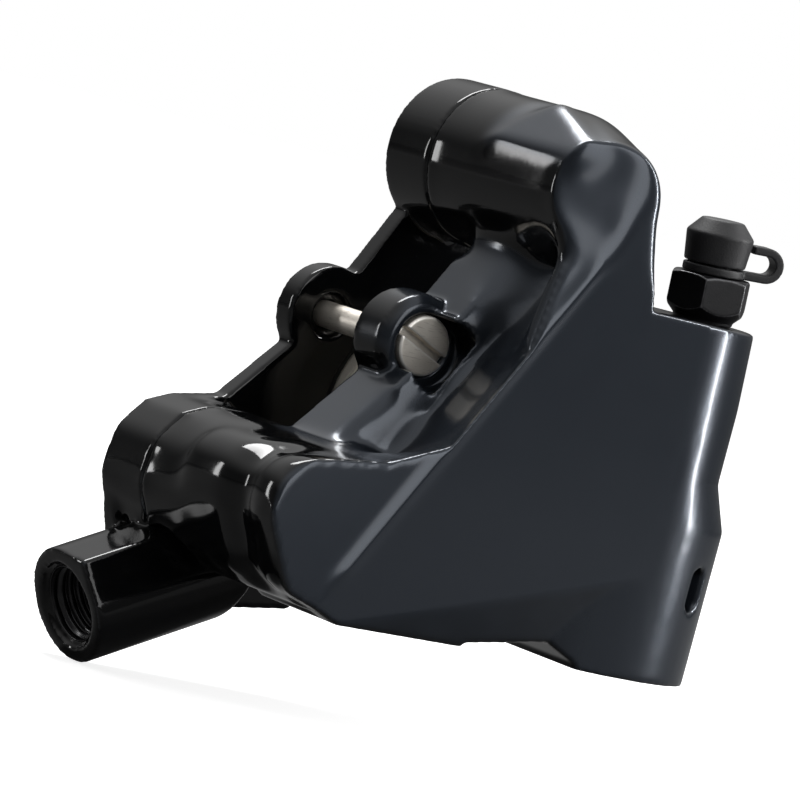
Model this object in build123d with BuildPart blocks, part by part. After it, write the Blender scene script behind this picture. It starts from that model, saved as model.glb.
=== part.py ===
from build123d import *
from math import cos, radians, sin
import os

# Rear flat mount disc brake caliper: two body halves bolted together through two bridges.
# Millimetres. The origin is midway between the two frame bolt holes, on the mounting face.
# +X points rearward to the bleed nipple, +Y inboard past the rotor, +Z up off the chainstay.

# Overall sizes that the side view's places are shares of
bolt_spacing = 34.0
body_height = 57.0

# Across the caliper, from the frame bolts' line
face_depth = 7.0
rotor_offset = 17.5
split_beyond_rotor = 0.8
bay_width = 11.8
inner_web = 2.5

# Frame bolt holes and feet
mount_hole_radius = 2.5
front_hole_depth = 10.0
rear_hole_depth = 13.0
foot_half_width = 7.0
foot_step_height = 3.5

# Rear pillar below and bleed boss above, as ellipses stacked up
pillar_centre = 13.0
pillar_reach = 12.8
pillar_height = 17.0
waist_reach = 10.1
waist_height = 22.0
boss_centre = 12.0
boss_reach = 11.2
boss_wide_height = 30.0
boss_top_reach = 10.5
boss_height = 38.4

# Small window into the rear bolt hole
window_width = 2.5
window_length = 4.8
window_height = 10.6
window_turn = -55.0

# Rotor that passes through
rotor_radius = 70.0
rotor_room = 2.0

# Bridges
top_bridge_radius = 8.5
hump_radius = 5.9
hump_length = 11.0

# Facets of the outboard face
front_corner_radius = 3.0
bridge_corner_radius = 4.0
facet_drop = 2.2
facet_width = 16.0
valley_depth = 2.2
valley_rise = 1.9
valley_start = 4.0
valley_middle = 9.4
valley_end = 10.6
valley_start_share = 0.8
valley_low = 21.5
valley_fall = 3.5
leaf_start = 34.5
leaf_thickness = 3.0
leaf_wall = 0.8
leaf_valley_middle = 6.6
leaf_valley_share = 0.65
undercut_height = 11.0
undercut_depth = 4.0

# Pistons, seals and their housings
piston_radius = 10.95
bore_clearance = 0.05
piston_length = 6.6
piston_proud = 1.2
piston_cup_radius = 8.0
piston_cup_depth = 4.4
piston_chamfer = 0.4
bore_depth = 6.9
seal_step = 1.2
seal_width = 1.8
seal_thickness = 1.5
seal_clearance = 0.02
seal_room = 0.1
housing_wall = 2.6
cap_wall = 1.4
cap_skin = 2.1
inner_housing_step = 4.1

# Pad axle, its ears and clip
ear_radius = 5.3
ear_length = 5.4
ear_into_bay = 0.6
ear_bevel = 0.9
ear_bevel_angle = 45.0
ear_beyond_web = 0.4
axle_radius = 1.45
axle_clearance = 0.05
thread_radius = 1.95
head_radius = 3.2
head_clearance = 0.08
head_length = 3.2
head_proud = 0.4
slot_width = 0.95
slot_depth = 1.0
slot_turn = -21.0
axle_tail = 1.0
recess_radius = 2.4
recess_depth = 1.0
pocket_radius = 3.9
pocket_shift = 0.6
pocket_depth = 4.0
clip_thickness = 0.5
clip_gap = 0.15
clip_groove_depth = 0.25
clip_reach = 1.0
clip_mouth = 1.8
clip_play = 0.02

# Body bolts
bolt_radius = 3.0
bolt_clearance = 0.05
bolt_head_radius = 4.6
bolt_head_height = 3.1
bolt_head_room = 0.1
bolt_head_sink = 0.2
bolt_tip_depth = 13.8
bolt_tip_room = 0.6
socket_radius = 2.8
socket_depth = 2.0

# Fluid passages, crossover seal and plug
passage_radius = 1.0
crossover_depth = 11.0
crossover_inner_depth = 5.0
oring_radius = 1.9
oring_section_radius = 0.5
groove_room = 0.1
plug_radius = 1.6
plug_length = 2.4
plug_land = 0.3
plug_turn = 43.0
rib_radius = 2.4
chamber_inset = 0.8

# Bleed nipple, cap and strap
nipple_offset = 16.6
nipple_lean = 4.0
nipple_radius = 3.0
nipple_clearance = 0.05
nipple_thread_length = 8.0
nipple_tip_length = 1.6
nipple_tip_radius = 1.3
nipple_hole_depth = 10.0
nipple_bore_radius = 0.7
collar_height = 0.3
hex_size = 8.0
hex_height = 4.7
hex_chamfer = 0.4
hex_turn = -16.0
neck_radius = 2.0
neck_height = 1.3
barb_radius = 2.5
barb_height = 3.4
barb_tip_radius = 1.9
ring_gap = 0.1
ring_height = 0.9
ring_radius = 3.3
ring_clearance = 0.3
cap_gap = 0.15
cap_radius = 3.65
cap_rim_radius = 3.3
cap_height = 4.8
cap_shoulder = 3.2
cap_top_radius = 2.25
cap_roof = 1.1
strap_thickness = 0.9
strap_width = 2.4
strap_reach = 7.4
strap_rise = 2.9
strap_turn = -20.0
strap_gap = 0.1

# Hose port on the inner half
port_offset = 2.3
port_dip = 25.5
port_radius = 6.2
port_corner_out = 4.6
port_corner_up = 5.9
port_length = 21.0
port_hole_radius = 4.0
port_thread_length = 9.0
port_lead_radius = 4.6
port_lead_length = 0.7
port_gap = 0.1

overrun = 30.0

# Places in the side view, as shares of the bolt spacing and of the body height
piston_shares = (0.012, 0.347)
axle_shares = (-0.397, 0.504)
rotor_shares = (1.456, -0.207)
top_bolt_shares = (-0.056, 0.846)
front_bolt_shares = (-0.879, 0.153)
port_shares = (-1.169, -0.113)
knee_shares = (-0.597, 0.1)
crease_low_shares = (-0.838, 0.033)
crease_high_shares = (-0.132, 0.732)
undercut_low_shares = (-0.72, 0.012)
undercut_high_shares = (0.426, 0.202)
face_shares = [
    (-0.838, 0.02), (-0.953, 0.04), (-1.068, 0.167), (-1.068, 0.235),
    (-0.994, 0.279), (-0.706, 0.302), (-0.512, 0.432), (-0.39, 0.538), (-0.356, 0.614),
    (-0.238, 0.73), (-0.27, 0.8), (-0.306, 0.84), (0.04, 0.85), (0.076, 0.777), (0.118, 0.672),
    (0.159, 0.674), (0.353, 0.674), (0.353, 0.5), (0.38, 0.02), (0.24, 0.0), (-0.75, 0.0),
]
leaf_tip_shares = (-0.238, 0.73)
recess_shares = [(-0.244, -0.05), (-0.224, 0.008), (0.109, 0.037), (0.2, 0.01), (0.235, -0.05)]
top_neck_shares = [(-0.303, 0.835), (-0.19, 0.728), (0.08, 0.66), (0.19, 0.8), (0.0, 0.9)]
front_bridge_shares = [
    (-0.874, 0.019), (-0.988, 0.067), (-1.053, 0.14), (-1.035, 0.221), (-0.956, 0.277),
    (-0.868, 0.298), (-0.706, 0.302), (-0.5, 0.22), (-0.5, 0.03),
]
web_shares = [
    (-0.3, 0.84), (-0.197, 0.745), (-0.353, 0.574), (-0.512, 0.44), (-0.706, 0.315),
    (-0.868, 0.298), (-0.956, 0.277), (-1.035, 0.221), (-1.053, 0.14), (-0.985, 0.035),
    (-0.88, -0.1), (-0.26, -0.052), (-0.118, 0.07), (0.2, 0.12), (0.4, 0.35), (0.19, 0.84),
]


def place(shares):
    """X and Z of a place in the side view."""
    return (shares[0] * bolt_spacing, shares[1] * body_height)


# Where the layers lie across the caliper
face_y = -face_depth
bay_outer_y = rotor_offset - bay_width / 2
bay_inner_y = rotor_offset + bay_width / 2
split_y = rotor_offset + split_beyond_rotor
web_y = bay_inner_y + inner_web
outer_ear_inner_y = bay_outer_y + ear_into_bay
outer_ear_y = outer_ear_inner_y - ear_length
inner_ear_y = bay_inner_y
inner_ear_back_y = web_y + ear_beyond_web
axle_end_y = inner_ear_back_y + axle_tail
clip_y = inner_ear_back_y + clip_gap
head_y = outer_ear_y - head_proud
head_seat_y = head_y + head_length
bore_radius = piston_radius + bore_clearance
groove_radius = piston_radius + seal_thickness
room_radius = rotor_radius + rotor_room
outer_bore_y = bay_outer_y - bore_depth
inner_bore_y = bay_inner_y + bore_depth

piston_x, piston_z = place(piston_shares)
axle_x, axle_z = place(axle_shares)
rotor_x, rotor_z = place(rotor_shares)
top_x, top_z = place(top_bolt_shares)
front_x, front_z = place(front_bolt_shares)
plug_reach = bolt_head_radius + bolt_head_room + plug_land + plug_radius
cross_x = front_x + plug_reach * cos(radians(plug_turn))
cross_z = front_z + plug_reach * sin(radians(plug_turn))
port_x, port_z = place(port_shares)
crease_x, crease_z = place(crease_low_shares)


def side_plane(y, x=0, z=0):
    """Side view plane at that Y, its origin at x and z and its normal pointing outboard."""
    return Plane(origin=(x, y, z), x_dir=(1, 0, 0), z_dir=(0, -1, 0))


def along(start, end):
    """Plane at start whose normal points to end."""
    return Plane(origin=start, z_dir=Vector(*end) - Vector(*start))


def span(start, end):
    """Distance between two places."""
    return (Vector(*end) - Vector(*start)).length


nipple_base = Vector(nipple_offset, 0, boss_height)
nipple_axis = Vector(-sin(radians(nipple_lean)), 0, cos(radians(nipple_lean)))
nipple_side = Vector(cos(radians(nipple_lean)), 0, sin(radians(nipple_lean)))
nipple_plane = Plane(origin=nipple_base, x_dir=nipple_side, z_dir=nipple_axis)
nipple_profile_plane = Plane(
    origin=nipple_base, x_dir=nipple_side, z_dir=nipple_side.cross(nipple_axis)
)

port_mouth = Vector(port_x, rotor_offset + port_offset, port_z)
port_in = Vector(cos(radians(port_dip)), 0, sin(radians(port_dip)))
port_plane = Plane(origin=port_mouth, x_dir=(0, -1, 0), z_dir=port_in)
port_up = 1 if port_plane.y_dir.Z > 0 else -1

# Ends of the drilled passages
chamber_y = outer_bore_y + chamber_inset
inner_chamber_y = inner_bore_y - chamber_inset
web_middle_y = (bay_inner_y + web_y) / 2
chamber_side = bore_radius - chamber_inset
outer_passage_start = (cross_x, split_y - crossover_depth + passage_radius, cross_z)
outer_passage_end = (piston_x - chamber_side, chamber_y, piston_z - seal_step)
bleed_start = tuple(nipple_base - nipple_axis * nipple_hole_depth)
bleed_end = (piston_x + chamber_side, chamber_y, piston_z + seal_step)
port_seat = tuple(port_mouth + port_in * (port_thread_length - port_lead_length))
knee_x, knee_z = place(knee_shares)
knee = (knee_x, web_middle_y, knee_z)
inner_passage_end = (
    piston_x - chamber_side * cos(radians(port_dip)),
    inner_chamber_y,
    piston_z - chamber_side * sin(radians(port_dip)),
)
cross_knee = (cross_x, split_y + crossover_inner_depth - passage_radius, cross_z)


def beside_crease(run, forward):
    """Side-view point this far up the crease and this far forward of it."""
    end_x, end_z = place(crease_high_shares)
    along = Vector(end_x - crease_x, end_z - crease_z).normalized()
    return (
        crease_x + along.X * run - along.Y * forward,
        crease_z + along.Y * run + along.X * forward,
    )


def port_outline(extra):
    """Round port whose upper outboard side runs out to a corner, grown by extra."""
    corner = (port_corner_out + extra, port_up * (port_corner_up + extra))
    Circle(port_radius + extra)
    Polygon(
        (0, 0), (0, port_up * (port_radius + extra)), corner, (port_radius + extra, 0), align=None
    )


# Outer half: flat face, feet, rear pillar, bleed boss, outer ear and the bridges up to the joint
with BuildPart() as outer_body:
    with BuildSketch(side_plane(bay_outer_y)):
        with BuildLine():
            Polyline(*[place(shares) for shares in face_shares], close=True)
        make_face()
        fillet(vertices().sort_by(Axis.X)[:4], radius=front_corner_radius)
    extrude(amount=bay_outer_y - face_y)

    # Undercut below the flat face's lower edge
    low_x, low_z = place(undercut_low_shares)
    high_x, high_z = place(undercut_high_shares)
    lower_edge = Vector(high_x - low_x, 0, high_z - low_z)
    edge_plane = Plane(
        origin=(low_x, face_y, low_z), x_dir=(0, -1, 0), z_dir=lower_edge
    )
    edge_down = -1 if edge_plane.y_dir.Z > 0 else 1
    with BuildSketch(edge_plane.offset(-overrun)):
        with BuildLine():
            Polyline(
                (0, 0),
                (-undercut_depth, edge_down * undercut_height),
                (undercut_depth, edge_down * undercut_height),
                (undercut_depth, 0),
                close=True,
            )
        make_face()
    extrude(amount=lower_edge.length + overrun + overrun, mode=Mode.SUBTRACT)

    # Forward of the crease the face drops away, and beside the bay it dips into a valley
    crease_end_x, crease_end_z = place(crease_high_shares)
    crease = Vector(crease_end_x - crease_x, 0, crease_end_z - crease_z)
    crease_plane = Plane(origin=(crease_x, face_y, crease_z), x_dir=(0, -1, 0), z_dir=crease)
    outward = -1 if crease_plane.y_dir.X > 0 else 1
    with BuildSketch(crease_plane.offset(-overrun)):
        with BuildLine():
            Polyline(
                (0, 0),
                (-facet_drop, outward * facet_width),
                (facet_drop, outward * facet_width),
                (facet_drop, 0),
                close=True,
            )
        make_face()
    extrude(amount=crease.length + overrun + overrun, mode=Mode.SUBTRACT)
    for depth, side, low in (
        (0, 0, valley_low),
        (valley_start, -valley_depth * valley_start_share, valley_low),
        (valley_middle, -valley_depth, valley_low - valley_fall),
        (valley_end, valley_rise, valley_low - valley_fall),
    ):
        with BuildSketch(side_plane(face_y + depth)):
            with BuildLine():
                Polyline(
                    beside_crease(low, side),
                    beside_crease(leaf_start, side),
                    beside_crease(leaf_start, facet_width),
                    place(face_shares[5]),
                    close=True,
                )
            make_face()
    loft(ruled=True, mode=Mode.SUBTRACT)

    # The leaf's front edge starts on the crease and draws away from it
    with BuildSketch(side_plane(face_y + leaf_thickness)):
        with BuildLine():
            Polyline(
                beside_crease(leaf_start, 0),
                place(leaf_tip_shares),
                beside_crease(crease.length, facet_width),
                beside_crease(leaf_start, facet_width),
                close=True,
            )
        make_face()
    extrude(amount=overrun, mode=Mode.SUBTRACT)

    # Higher up the valley runs behind a leaf of the face that reaches forward of the crease
    for run, upper, lower, floor in (
        (leaf_start, (leaf_thickness, 0), (valley_start, -valley_depth * valley_start_share),
         (valley_middle, -valley_depth)),
        (crease.length, (leaf_thickness, valley_rise), (leaf_thickness + leaf_wall, 0),
         (leaf_valley_middle, -valley_depth * leaf_valley_share)),
    ):
        with BuildSketch(crease_plane.offset(run)):
            with BuildLine():
                Polyline(
                    (-leaf_thickness, outward * facet_width),
                    (-upper[0], outward * upper[1]),
                    (-lower[0], outward * lower[1]),
                    (-floor[0], outward * floor[1]),
                    (-valley_end, outward * valley_rise),
                    (-overrun, outward * valley_rise),
                    (-overrun, outward * facet_width),
                    close=True,
                )
            make_face()
    loft(ruled=True, mode=Mode.SUBTRACT)

    # Rear pillar, waist and bleed boss
    for height, centre, reach in (
        (0, pillar_centre, pillar_reach),
        (pillar_height, pillar_centre, pillar_reach),
        (waist_height, pillar_centre, waist_reach),
        (boss_wide_height, boss_centre, boss_reach),
        (boss_height, boss_centre, boss_top_reach),
    ):
        with BuildSketch(Plane.XY.offset(height)):
            with Locations((centre, 0)):
                Ellipse(reach, foot_half_width)
    loft(ruled=True)

    # Piston housing behind the face
    with BuildSketch(side_plane(bay_outer_y, piston_x, piston_z)):
        Circle(bore_radius + housing_wall)
    extrude(amount=bore_depth + housing_wall)

    # Top bridge: round through the rotor's room, then drawn in to the hump of the face
    hump_y = face_y + hump_length
    hump_shift = top_bridge_radius - hump_radius
    with BuildSketch(side_plane(split_y, top_x, top_z)):
        Circle(top_bridge_radius)
    extrude(amount=split_y - hump_y)
    with BuildSketch(side_plane(hump_y, top_x, top_z)):
        Circle(top_bridge_radius)
    with BuildSketch(side_plane(face_y, top_x, top_z)):
        with Locations((-hump_shift, 0)):
            Circle(hump_radius)
    loft(ruled=True)
    with BuildSketch(side_plane(split_y)):
        with BuildLine():
            Polyline(*[place(shares) for shares in top_neck_shares], close=True)
        make_face()
    extrude(amount=split_y - bay_outer_y + seal_step)
    with BuildSketch(side_plane(split_y)):
        with BuildLine():
            Polyline(*[place(shares) for shares in front_bridge_shares], close=True)
        make_face()
        fillet(vertices().sort_by(Axis.X)[:2], radius=bridge_corner_radius)
    extrude(amount=split_y - bay_outer_y + seal_step)

    # Room for the rotor and pads between the bridges
    with BuildSketch(side_plane(split_y, rotor_x, rotor_z)):
        Circle(room_radius)
    extrude(amount=split_y - bay_outer_y, mode=Mode.SUBTRACT)

    # Recess between the feet, and the step inboard of them
    with BuildSketch(side_plane(bay_outer_y)):
        with BuildLine():
            Polyline(*[place(shares) for shares in recess_shares], close=True)
        make_face()
    extrude(amount=bay_outer_y + overrun, mode=Mode.SUBTRACT)
    with BuildSketch(Plane.YZ.offset(-2 * overrun)):
        with BuildLine():
            Polyline(
                (foot_half_width, -foot_step_height),
                (foot_half_width, 0),
                (bay_outer_y, foot_step_height),
                (bay_outer_y, -foot_step_height),
                close=True,
            )
        make_face()
    extrude(amount=4 * overrun, mode=Mode.SUBTRACT)

    # Outer ear, head pocket and the axle's seat
    with BuildSketch(side_plane(outer_ear_inner_y, axle_x, axle_z)):
        Circle(ear_radius)
    extrude(amount=ear_length - ear_bevel)
    with BuildSketch(side_plane(outer_ear_y + ear_bevel, axle_x, axle_z)):
        Circle(ear_radius)
    extrude(amount=ear_bevel, taper=ear_bevel_angle)
    with BuildSketch(side_plane(outer_ear_y, axle_x, axle_z)):
        with Locations((pocket_shift, -pocket_shift)):
            Circle(pocket_radius)
    extrude(amount=pocket_depth, mode=Mode.SUBTRACT)
    for radius, top_y, length in (
        (head_radius + head_clearance, head_seat_y, head_length),
        (thread_radius + axle_clearance, outer_ear_inner_y, ear_length),
    ):
        with BuildSketch(side_plane(top_y, axle_x, axle_z)):
            Circle(radius)
        extrude(amount=length, mode=Mode.SUBTRACT)

    # Piston bore and seal groove
    with BuildSketch(side_plane(bay_outer_y, piston_x, piston_z)):
        Circle(bore_radius)
    extrude(amount=bore_depth, mode=Mode.SUBTRACT)
    with BuildSketch(side_plane(bay_outer_y - seal_step, piston_x, piston_z)):
        Circle(groove_radius + bore_clearance)
    extrude(amount=seal_width + seal_room, mode=Mode.SUBTRACT)

    # Tapped holes for the body bolts, crossover and its seal groove
    for x, z in ((top_x, top_z), (front_x, front_z)):
        with BuildSketch(side_plane(split_y, x, z)):
            Circle(bolt_radius + bolt_clearance)
        extrude(amount=bolt_tip_depth + bolt_tip_room, mode=Mode.SUBTRACT)
    with BuildSketch(side_plane(split_y, cross_x, cross_z)):
        Circle(passage_radius)
    extrude(amount=crossover_depth, mode=Mode.SUBTRACT)
    with BuildSketch(side_plane(split_y, cross_x, cross_z)):
        Circle(oring_radius + oring_section_radius + groove_room)
        Circle(oring_radius - oring_section_radius - groove_room, mode=Mode.SUBTRACT)
    extrude(amount=2 * oring_section_radius, mode=Mode.SUBTRACT)
    for start, end in ((outer_passage_start, outer_passage_end), (bleed_start, bleed_end)):
        with BuildSketch(along(start, end)):
            Circle(passage_radius)
        extrude(amount=span(start, end), mode=Mode.SUBTRACT)

    # Nipple hole with its spot face, frame bolt holes and the window into the rear one
    with BuildSketch(nipple_plane.offset(collar_height)):
        Circle(nipple_radius + nipple_clearance)
    extrude(amount=-nipple_hole_depth - collar_height, mode=Mode.SUBTRACT)
    with BuildSketch(nipple_plane):
        Circle(hex_size / 2 + hex_chamfer)
    extrude(amount=hex_height, mode=Mode.SUBTRACT)
    for x, depth in ((-bolt_spacing / 2, front_hole_depth), (bolt_spacing / 2, rear_hole_depth)):
        with BuildSketch(Plane.XY):
            with Locations((x, 0)):
                Circle(mount_hole_radius)
        extrude(amount=depth, mode=Mode.SUBTRACT)
    window_out = Vector(cos(radians(window_turn)), sin(radians(window_turn)), 0)
    window_plane = Plane(
        origin=(bolt_spacing / 2, 0, window_height), x_dir=(0, 0, 1), z_dir=window_out
    )
    with BuildSketch(window_plane):
        SlotOverall(window_length, window_width)
    extrude(amount=overrun, mode=Mode.SUBTRACT)

    # Clearance round the hose port of the inner half
    with BuildSketch(port_plane.offset(-port_gap)):
        port_outline(port_gap)
    extrude(amount=port_length + 2 * port_gap, mode=Mode.SUBTRACT)

# Inner half: web, bridges up to the joint, inner ear, piston housing and hose port
with BuildPart() as inner_body:
    with BuildSketch(side_plane(web_y)):
        with BuildLine():
            Polyline(*[place(shares) for shares in web_shares], close=True)
        make_face()
        fillet(vertices().sort_by(Axis.X)[:2], radius=bridge_corner_radius)
    extrude(amount=inner_web)
    with BuildSketch(side_plane(web_y, top_x, top_z)):
        Circle(top_bridge_radius)
    extrude(amount=web_y - split_y)
    with BuildSketch(side_plane(web_y)):
        with BuildLine():
            Polyline(*[place(shares) for shares in top_neck_shares], close=True)
        make_face()
    extrude(amount=web_y - split_y)
    with BuildSketch(side_plane(web_y)):
        with BuildLine():
            Polyline(*[place(shares) for shares in front_bridge_shares], close=True)
        make_face()
        fillet(vertices().sort_by(Axis.X)[:2], radius=bridge_corner_radius)
    extrude(amount=web_y - split_y)

    # Piston housing in two steps, and the cast rib that holds the drilled passage
    for radius, depth in (
        (groove_radius + cap_wall, inner_housing_step),
        (bore_radius + cap_wall, bore_depth + cap_skin),
    ):
        with BuildSketch(side_plane(bay_inner_y + depth, piston_x, piston_z)):
            Circle(radius)
        extrude(amount=depth)
    with BuildSketch(along(knee, inner_passage_end)):
        Circle(rib_radius)
    extrude(amount=span(knee, inner_passage_end))

    # Hose port
    with BuildSketch(port_plane):
        port_outline(0)
    extrude(amount=port_length)

    # Room for the rotor and pads
    with BuildSketch(side_plane(bay_inner_y, rotor_x, rotor_z)):
        Circle(room_radius)
    extrude(amount=bay_width + overrun, mode=Mode.SUBTRACT)

    # Inner ear and the axle's hole
    with BuildSketch(side_plane(inner_ear_back_y, axle_x, axle_z)):
        Circle(ear_radius)
    extrude(amount=inner_ear_back_y - inner_ear_y)
    with BuildSketch(side_plane(inner_ear_back_y, axle_x, axle_z)):
        Circle(axle_radius + axle_clearance)
    extrude(amount=ear_length, mode=Mode.SUBTRACT)
    with BuildSketch(side_plane(inner_ear_y + recess_depth, axle_x, axle_z)):
        Circle(recess_radius)
    extrude(amount=recess_depth, mode=Mode.SUBTRACT)
    with BuildSketch(side_plane(axle_end_y + clip_gap, axle_x, axle_z)):
        Circle(axle_radius + clip_reach + clip_gap)
    extrude(amount=axle_tail + clip_gap, mode=Mode.SUBTRACT)

    # Piston bore and seal groove
    with BuildSketch(side_plane(inner_bore_y, piston_x, piston_z)):
        Circle(bore_radius)
    extrude(amount=bore_depth + bay_width, mode=Mode.SUBTRACT)
    with BuildSketch(side_plane(bay_inner_y + seal_step + seal_width + seal_room, piston_x, piston_z)):
        Circle(groove_radius + bore_clearance)
    extrude(amount=seal_width + seal_room, mode=Mode.SUBTRACT)

    # Body bolt holes, counterbored from the inboard side
    for x, z in ((top_x, top_z), (front_x, front_z)):
        with BuildSketch(side_plane(web_y, x, z)):
            Circle(bolt_radius + bolt_clearance)
        extrude(amount=web_y - split_y + bolt_tip_depth, mode=Mode.SUBTRACT)
        with BuildSketch(side_plane(web_y, x, z)):
            Circle(bolt_head_radius + bolt_head_room)
        extrude(amount=bolt_head_height + bolt_head_sink, mode=Mode.SUBTRACT)

    # Crossover, its plugged end, and the passages to the chamber and the port
    with BuildSketch(side_plane(web_y, cross_x, cross_z)):
        Circle(passage_radius)
    extrude(amount=web_y - split_y, mode=Mode.SUBTRACT)
    with BuildSketch(side_plane(web_y, cross_x, cross_z)):
        Circle(plug_radius)
    extrude(amount=plug_length, mode=Mode.SUBTRACT)
    for start, end in ((cross_knee, knee), (knee, inner_passage_end), (port_seat, knee)):
        with BuildSketch(along(start, end)):
            Circle(passage_radius)
        extrude(amount=span(start, end), mode=Mode.SUBTRACT)

    # Threaded mouth of the hose port
    for radius, length in (
        (port_hole_radius, port_thread_length),
        (port_lead_radius, port_lead_length),
    ):
        with BuildSketch(port_plane):
            Circle(radius)
        extrude(amount=length, mode=Mode.SUBTRACT)


def make_piston(front_y, towards_outboard):
    """Cup piston whose open end lies at front_y, chamfered at both ends."""
    with BuildPart() as piston:
        back_y = front_y - towards_outboard * piston_length
        with BuildSketch(side_plane(front_y, piston_x, piston_z)):
            Circle(piston_radius)
        extrude(amount=towards_outboard * piston_length)
        chamfer(piston.edges().filter_by(GeomType.CIRCLE), length=piston_chamfer)
        with BuildSketch(side_plane(front_y, piston_x, piston_z)):
            Circle(piston_cup_radius)
        extrude(amount=towards_outboard * piston_cup_depth, mode=Mode.SUBTRACT)
    return piston


outer_piston = make_piston(bay_outer_y + piston_proud, 1)
inner_piston = make_piston(bay_inner_y - piston_proud, -1)


def make_seal(start_y):
    """Square ring that lies in its groove, from start_y inboard."""
    with BuildPart() as seal:
        with BuildSketch(side_plane(start_y + seal_width, piston_x, piston_z)):
            Circle(groove_radius)
            Circle(piston_radius + seal_clearance, mode=Mode.SUBTRACT)
        extrude(amount=seal_width)
    return seal


outer_piston_seal = make_seal(bay_outer_y - seal_step - seal_width - seal_room / 2)
inner_piston_seal = make_seal(bay_inner_y + seal_step + seal_room / 2)

with BuildPart() as crossover_seal:
    with BuildSketch(Plane(origin=(cross_x, split_y - oring_section_radius, cross_z))):
        with Locations((oring_radius, 0)):
            Circle(oring_section_radius)
    revolve(axis=Axis((cross_x, split_y - oring_section_radius, cross_z), (0, 1, 0)))

with BuildPart() as passage_plug:
    with BuildSketch(side_plane(web_y, cross_x, cross_z)):
        Circle(plug_radius)
    extrude(amount=plug_length)


def make_body_bolt(x, z):
    """Socket head bolt put in from the inboard side."""
    head_top = web_y - bolt_head_sink
    with BuildPart() as bolt:
        with BuildSketch(side_plane(head_top, x, z)):
            Circle(bolt_head_radius)
        extrude(amount=bolt_head_height)
        chamfer(bolt.edges().group_by(Axis.Y)[-1], length=bolt_head_sink)
        with BuildSketch(side_plane(head_top - bolt_head_height, x, z)):
            Circle(bolt_radius)
        extrude(amount=head_top - bolt_head_height - split_y + bolt_tip_depth)
        chamfer(bolt.edges().group_by(Axis.Y)[0], length=bolt_head_sink)
        with BuildSketch(side_plane(head_top, x, z)):
            RegularPolygon(socket_radius, 6)
        extrude(amount=socket_depth, mode=Mode.SUBTRACT)
    return bolt


body_bolt_top = make_body_bolt(top_x, top_z)
body_bolt_front = make_body_bolt(front_x, front_z)

# Pad axle: slotted head, thread in the outer ear, shank through the inner ear to its clip
with BuildPart() as pad_axle:
    with BuildSketch(side_plane(head_seat_y, axle_x, axle_z)):
        Circle(head_radius)
    extrude(amount=head_length)
    chamfer(pad_axle.edges().group_by(Axis.Y)[0], length=head_clearance * 2)
    with BuildSketch(side_plane(outer_ear_inner_y, axle_x, axle_z)):
        Circle(thread_radius)
    extrude(amount=outer_ear_inner_y - head_seat_y)
    with BuildSketch(side_plane(axle_end_y, axle_x, axle_z)):
        Circle(axle_radius)
    extrude(amount=axle_end_y - outer_ear_inner_y)
    chamfer(pad_axle.edges().group_by(Axis.Y)[-1], length=head_clearance * 2)
    with BuildSketch(side_plane(clip_y + clip_thickness + clip_play, axle_x, axle_z)):
        Circle(axle_radius)
        Circle(axle_radius - clip_groove_depth, mode=Mode.SUBTRACT)
    extrude(amount=clip_thickness + 2 * clip_play, mode=Mode.SUBTRACT)
    with BuildSketch(side_plane(head_y + slot_depth, axle_x, axle_z)):
        Rectangle(3 * head_radius, slot_width, rotation=slot_turn)
    extrude(amount=slot_depth, mode=Mode.SUBTRACT)

with BuildPart() as pad_axle_clip:
    with BuildSketch(side_plane(clip_y + clip_thickness, axle_x, axle_z)):
        Circle(axle_radius + clip_reach)
        Circle(axle_radius - clip_groove_depth + clip_play, mode=Mode.SUBTRACT)
        with Locations((axle_radius + clip_reach, 0)):
            Rectangle(2 * clip_reach, clip_mouth, mode=Mode.SUBTRACT)
    extrude(amount=clip_thickness)

# Bleed nipple: threaded cone end, hexagon and barbed top
hex_top = collar_height + hex_height
barb_base = hex_top + neck_height
nipple_top = barb_base + barb_height
with BuildPart() as bleed_nipple:
    # Hexagon, its corners turned down at both ends
    with BuildSketch(nipple_plane.offset(collar_height)):
        RegularPolygon(hex_size / 2, 6, major_radius=False, rotation=hex_turn)
    extrude(amount=hex_height)
    hex_corner = hex_size / 2 + hex_chamfer
    with BuildSketch(nipple_profile_plane):
        with BuildLine():
            Polyline(
                (0, collar_height),
                (hex_corner - 3 * hex_chamfer, collar_height),
                (hex_corner + hex_chamfer, collar_height + 4 * hex_chamfer),
                (hex_corner + hex_chamfer, hex_top - hex_chamfer),
                (hex_corner - hex_chamfer, hex_top),
                (0, hex_top),
                close=True,
            )
        make_face()
    revolve(axis=Axis(nipple_base, nipple_axis), mode=Mode.INTERSECT)

    # Threaded cone end, collar and barbed top
    with BuildSketch(nipple_profile_plane):
        with BuildLine():
            Polyline(
                (0, -nipple_thread_length - nipple_tip_length),
                (nipple_tip_radius, -nipple_thread_length - nipple_tip_length),
                (nipple_radius, -nipple_thread_length),
                (nipple_radius, 0),
                (hex_corner - 3 * hex_chamfer, 0),
                (hex_corner - 3 * hex_chamfer, collar_height),
                (neck_radius, collar_height + hex_chamfer),
                (neck_radius, barb_base),
                (barb_radius, barb_base),
                (barb_radius, barb_base + neck_height / 2),
                (barb_tip_radius, nipple_top),
                (0, nipple_top),
                close=True,
            )
        make_face()
    revolve(axis=Axis(nipple_base, nipple_axis))
    with BuildSketch(nipple_plane):
        Circle(nipple_bore_radius)
    extrude(amount=nipple_top, mode=Mode.SUBTRACT)

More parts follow.
